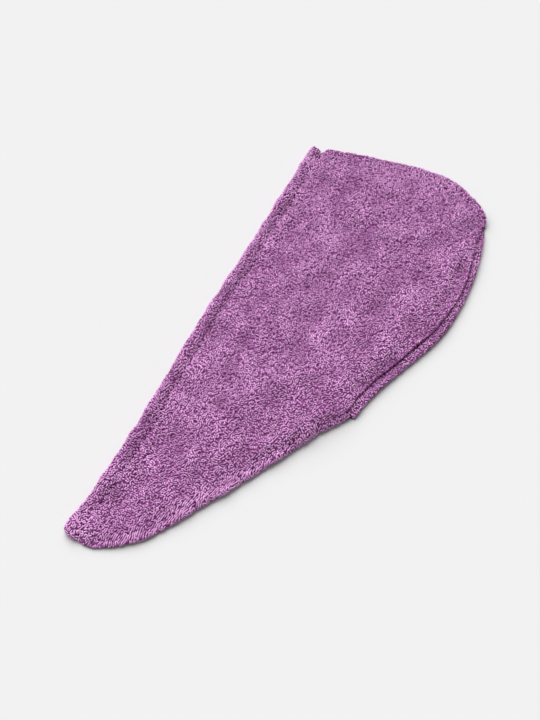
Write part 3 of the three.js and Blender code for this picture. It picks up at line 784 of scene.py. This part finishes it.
flecks = add_node(yarn, "ShaderNodeMapRange",
                  inputs={"Value": fibres.outputs["Fac"], "From Min": 0.3, "From Max": 0.7,
                          "To Min": 0.78, "To Max": 1.2})
speckled = add_node(yarn, "ShaderNodeVectorMath", {"operation": "SCALE"},
                    {0: yarn_ramp.outputs["Color"], "Scale": flecks.outputs["Result"]})
yarn.node_tree.links.new(speckled.outputs["Vector"], yarn_shader.inputs["Base Color"])
strand_map = add_node(yarn, "ShaderNodeUVMap", {"uv_map": "strand"})
split = add_node(yarn, "ShaderNodeSeparateXYZ", inputs={"Vector": strand_map.outputs["UV"]})
twist = add_node(yarn, "ShaderNodeMath", {"operation": "MULTIPLY_ADD"},
                 {0: split.outputs["X"], 1: TURNS_PER_MM, 2: split.outputs["Y"]})
plies = add_node(yarn, "ShaderNodeMath", {"operation": "MULTIPLY"},
                 {0: twist.outputs["Value"], 1: 2 * math.pi * PLIES})
ply_wave = add_node(yarn, "ShaderNodeMath", {"operation": "SINE"}, {0: plies.outputs["Value"]})
yarn_bump = add_node(yarn, "ShaderNodeBump",
                     inputs={"Strength": 0.35, "Distance": 0.0002, "Height": ply_wave.outputs["Value"]})
yarn.node_tree.links.new(yarn_bump.outputs["Normal"], yarn_shader.inputs["Normal"])
yarn_shader.inputs["Roughness"].default_value = 0.9
yarn_shader.inputs["Specular IOR Level"].default_value = 0.2
yarn_shader.inputs["Sheen Weight"].default_value = 0.4
yarn_shader.inputs["Sheen Roughness"].default_value = 0.45
yarn_shader.inputs["Sheen Tint"].default_value = colour("#EFC4EB")

SKIN_GRAIN = 0.0013
SPOTS_PER_MM2 = 0.4
UPPER_NODES = ["upper_panel", "upper_hem", "spine_seam", "top_seam", "tail_seam"]
UNDER_NODES = ["under_panel", "under_hem"]
upper_skin = skin_over(UPPER_NODES, SKIN_GRAIN)
under_skin = skin_over(UNDER_NODES, SKIN_GRAIN)
upper_tree, upper_leans = surface_of([upper_skin])
under_tree, under_leans = surface_of([under_skin])

# Loops that can be seen from above stand close. Those that face the table are longer and fewer,
# and where a place has no open sky, as deep inside the pocket, there are none.
FINE_APART = 2.9
FINE_LENGTH = 5.3
COARSE_APART = 5.6
COARSE_LENGTH = 6.6
STEPS = 2
OPEN_RAYS = 2
found = []
for skin, tree, leans in ((upper_skin, upper_tree, upper_leans), (under_skin, under_tree, under_leans)):
    spots, lean = spread_on(skin, SPOTS_PER_MM2)
    seen = open_to_view(spots, lean, (upper_tree, under_tree), OPEN_RAYS)
    spots = spots[seen]
    lean = lean[seen]
    upward = lean[:, 2] > FACES_TABLE
    fine = root_loops(spots[upward], lean[upward], tree, leans, FINE_APART, FINE_LENGTH, STEPS)
    coarse = root_loops(spots[~upward], lean[~upward], tree, leans, COARSE_APART, COARSE_LENGTH, STEPS)
    found.append((fine, coarse))

for skin in (upper_skin, under_skin):
    bpy.data.objects.remove(skin)

pile = []
groups = {}
owner_trees = {node: surface_of([piece])[0] for node, piece in cloth.items()}
for fine, coarse in found:
    for kind, (path, normal) in (("fine", fine), ("coarse", coarse)):
        middle = path[:, path.shape[1] // 2]
        owner = []
        for row in middle:
            spot = Vector(row / 1000)
            reach = {node: tree.find_nearest(spot, JOINT_REACH)[3] for node, tree in owner_trees.items()}
            reach = {node: gap for node, gap in reach.items() if gap is not None}
            owner.append(min(reach, key=reach.get) if reach else "upper_panel")
        owner = np.array(owner)
        for node in cloth:
            mine = owner == node
            if mine.any():
                groups.setdefault((node, kind), []).append((path[mine], normal[mine]))

# Each piece's loops are one mesh, or two where they would be too many triangles for one.
MOST_TRIANGLES = 190000
FINE_THICKNESS = 0.78
COARSE_THICKNESS = 0.8
TABLE_CLEARANCE = 0.03
for (node, kind), parts in groups.items():
    path = np.concatenate([p for p, _ in parts])
    normal = np.concatenate([n for _, n in parts])
    sides = 4 if kind == "fine" else 3
    faces = sides * 2 + sides * 2 * (path.shape[1] - 3)
    order = np.argsort(path[:, path.shape[1] // 2, 1])
    cuts = np.array_split(order, math.ceil(len(order) * faces / MOST_TRIANGLES))
    for number, cut in enumerate(cuts):
        middle = path[cut, path.shape[1] // 2]
        patch = patchy(middle)
        rise = chance.uniform(0.75, 1.2, len(cut)) * (1 + 0.08 * patch)
        thick = (FINE_THICKNESS if sides == 4 else COARSE_THICKNESS) * chance.uniform(0.88, 1.1, len(cut))
        low = normal[cut, path.shape[1] // 2, 2] < -0.3
        rise[low] *= 0.55
        inward, _, top_in, _ = from_edges(middle)
        # Painted highlight: loops along the spine's outer edge and along the top edge are painted lighter,
        # where these edges face the soft light.
        painted_rim_highlight = bump(inward, 4.0)
        painted_brim_highlight = (middle[:, 1] > 240) * bump(top_in, 4.0)
        shade = 0.5 + 0.085 * patch + 0.14 * np.maximum(painted_rim_highlight, painted_brim_highlight) + chance.normal(0, 0.11, len(cut))
        name = f"{node}_loops_{kind}_{number + 1}"
        piece = yarn_mesh(name, path[cut], normal[cut], rise, thick, sides, shade)
        rows = places(piece.data)
        rows[:, 2] = np.maximum(rows[:, 2], TABLE_CLEARANCE)
        put_places(piece.data, rows)
        piece.data.materials.append(yarn)
        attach(piece, "root")
        pile.append((node, piece))

# The two panels are the towel's sheets of cloth: each is one cut of terry, laid flat in two
# layers. Each panel's loops, hem and seams are listed with it.
upper_with = [cloth[node] for node in UPPER_NODES[1:]]
upper_with += [piece for node, piece in pile if node in UPPER_NODES]
under_with = [cloth[node] for node in UNDER_NODES[1:]]
under_with += [piece for node, piece in pile if node in UNDER_NODES]
